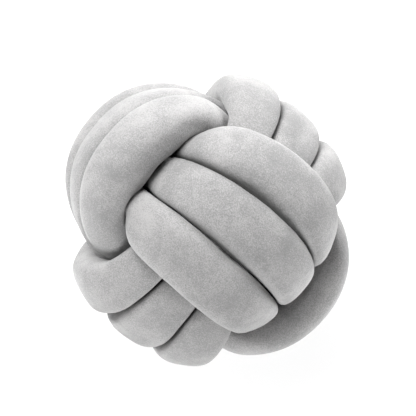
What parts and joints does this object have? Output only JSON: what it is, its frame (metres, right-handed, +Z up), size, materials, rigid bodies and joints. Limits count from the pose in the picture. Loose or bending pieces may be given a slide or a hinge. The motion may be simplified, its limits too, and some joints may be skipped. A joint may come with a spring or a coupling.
{
  "type": "knot cushion",
  "caption": "Ball-shaped cushion: one stuffed plush tube tied into a knot, with parallel turns side by side in three directions.",
  "frame": {"origin": "middle of the cushion's footprint, on the support it lies on", "axes": "+Z up, out of the face that shows; the three turns on that face run along X"},
  "size_m": [0.2956, 0.2826, 0.2926],
  "materials": {
    "plush": "short-pile plush, matte with a soft sheen"
  },
  "bodies": {
    "root": {"knotted_tube": "plush"}
  },
  "joints": []
}
